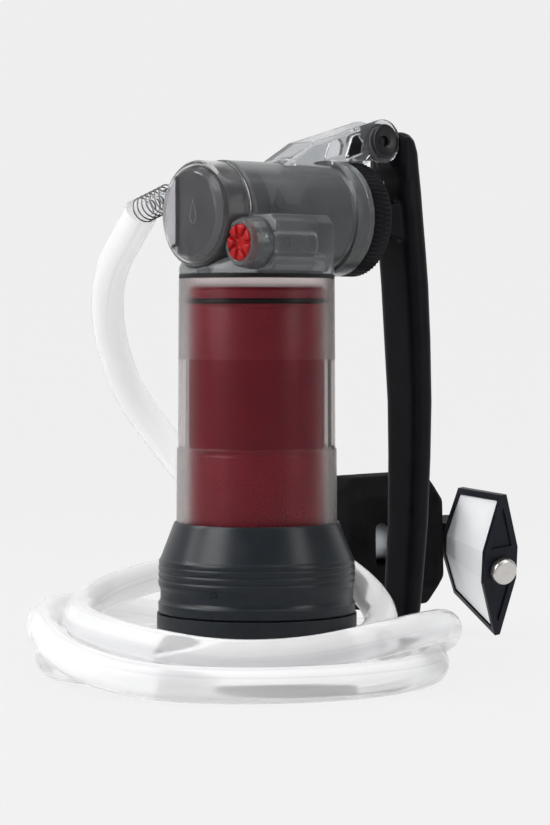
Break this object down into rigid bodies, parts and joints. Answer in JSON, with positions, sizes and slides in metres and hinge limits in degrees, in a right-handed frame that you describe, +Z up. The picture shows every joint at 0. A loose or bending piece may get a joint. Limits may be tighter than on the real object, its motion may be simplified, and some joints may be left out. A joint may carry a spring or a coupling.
{
  "type": "pump water filter",
  "caption": "Hand-pumped water filter: clear filter tube with crimson cartridge, cross pump with swinging lever, suction hose with float and prefilter, skirt that screws on a bottle.",
  "frame": {"origin": "on the filter tube's axis in the bottom face of the skirt, which is the floor", "axes": "+Z up along the filter tube; +Y along the pump cylinder towards the lever; +X towards the relief valve"},
  "size_m": [0.1728, 0.242, 0.2007],
  "materials": {
    "skirt_plastic": "smooth satin moulded skirt",
    "grip_plastic": "satin moulded grip with fine wear",
    "black_plastic": "satin black",
    "lever_plastic": "fine-grained satin black",
    "inner_plastic": "moulded grey, seen only through the clear walls",
    "seal_rubber": "soft black seal",
    "valve_rubber": "soft silicone disc",
    "frosted_clear": "clear tube, frosted but for a polished window band",
    "smoke_clear": "smoke-tinted clear moulding",
    "crimson_plastic": "deep crimson cartridge",
    "potting_resin": "cast resin",
    "filter_fibre": "hollow fibre bundle",
    "emblem_plastic": "raised smoky droplet",
    "pin_black": "blackened pin head",
    "pin_steel": "plain ground pin",
    "spring_steel": "drawn wire",
    "red_plastic": "bright red knob",
    "hose_clear": "clear flexible vinyl",
    "float_foam": "closed-cell foam",
    "white_mesh": "fine woven screen",
    "weight_steel": "satin turned stud"
  },
  "bodies": {
    "filter": {"bottle_adapter": "skirt_plastic", "adapter_gasket": "seal_rubber", "outlet_nipple": "black_plastic", "lower_end_cap": "inner_plastic", "lower_oring": "seal_rubber", "base_grip": "grip_plastic", "cartridge_housing": "frosted_clear", "cartridge_base": "crimson_plastic", "cartridge_shell": "crimson_plastic", "cartridge_cap": "crimson_plastic", "cartridge_oring": "seal_rubber", "potting_disc": "potting_resin", "fiber_bundle": "filter_fibre", "head_gasket": "seal_rubber", "pump_body": "smoke_clear", "front_cap": "smoke_clear", "front_cap_oring": "seal_rubber", "inlet_gasket": "seal_rubber", "valve_plate": "inner_plastic", "inlet_valve": "valve_rubber", "outlet_valve": "valve_rubber", "retaining_ring": "black_plastic", "rod_guide": "black_plastic", "emblem": "emblem_plastic", "hinge_bracket": "smoke_clear", "hinge_pin": "pin_black", "hinge_washers": "inner_plastic", "relief_bezel": "smoke_clear", "relief_seal": "seal_rubber", "inlet_barb": "smoke_clear", "hose_cuff": "hose_clear", "kink_spring": "spring_steel", "hose": "hose_clear", "hose_float": "float_foam", "prefilter_stem": "hose_clear", "prefilter_elbow": "black_plastic", "prefilter_frame": "black_plastic", "prefilter_mesh": "white_mesh", "prefilter_weight": "weight_steel"},
    "lever": {"lever": "lever_plastic", "drive_pin": "pin_steel"},
    "piston": {"piston": "inner_plastic", "piston_seal": "seal_rubber", "piston_rod": "inner_plastic"},
    "relief": {"relief_knob": "red_plastic", "relief_poppet": "inner_plastic", "relief_spring": "spring_steel"}
  },
  "joints": [
    {"name": "lever_swing", "type": "hinge", "parent": "filter", "child": "lever", "pos_m": [0, 0.0545, 0.1926], "axis": [1, 0, 0], "range_deg": [0, 50]},
    {"name": "piston_slide", "type": "slide", "parent": "filter", "child": "piston", "axis": [0, 1, 0], "range_m": [0, 0.024]},
    {"name": "relief_slide", "type": "slide", "parent": "filter", "child": "relief", "axis": [0, -1, 0], "range_m": [0, 0.0025], "stiffness_N_per_m": 400, "springref_m": -0.001, "deforming": ["relief_spring"]}
  ],
  "couplings": [
    {"joint": "piston_slide", "follows": "lever_swing", "m_per_rad": 0.02704}
  ]
}
